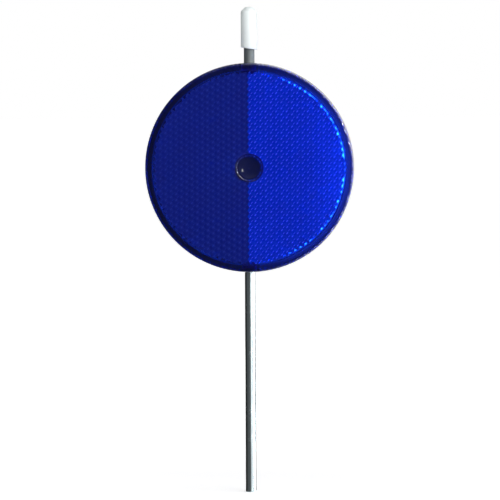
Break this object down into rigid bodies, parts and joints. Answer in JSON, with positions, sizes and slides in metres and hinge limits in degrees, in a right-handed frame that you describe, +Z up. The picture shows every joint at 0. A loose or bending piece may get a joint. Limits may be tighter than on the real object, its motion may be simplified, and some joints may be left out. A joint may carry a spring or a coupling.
{
  "type": "driveway marker",
  "caption": "Round blue prismatic reflector head, lensed front and back, turning on a straight aluminium rod that is pushed into the ground, with a soft white cap on the rod's upper end.",
  "frame": {"origin": "centre of the rod's lower end", "axes": "+Z up along the rod, the front lens faces -Y, +X to the right seen from the front"},
  "size_m": [0.0826, 0.0132, 0.1918],
  "materials": {
    "bright_aluminium": "bright drawn",
    "white_vinyl": "soft satin",
    "blue_acrylic": "clear gloss",
    "dark_shell": "moulded satin",
    "black_plug": "moulded satin"
  },
  "bodies": {
    "stake": {"rod": "bright_aluminium"},
    "head": {"front_lens": "blue_acrylic", "rear_lens": "blue_acrylic", "front_shell": "dark_shell", "rear_shell": "dark_shell", "front_centre_plug": "black_plug", "rear_centre_plug": "black_plug"},
    "cap": {"rod_cap": "white_vinyl"}
  },
  "joints": [
    {"name": "head_turn", "type": "hinge", "parent": "stake", "child": "head", "pos_m": [0, 0, 0.12837], "axis": [0, 0, 1], "continuous": true},
    {"name": "cap_pull", "type": "slide", "parent": "stake", "child": "cap", "axis": [0, 0, 1], "range_m": [0, 0.016]}
  ]
}
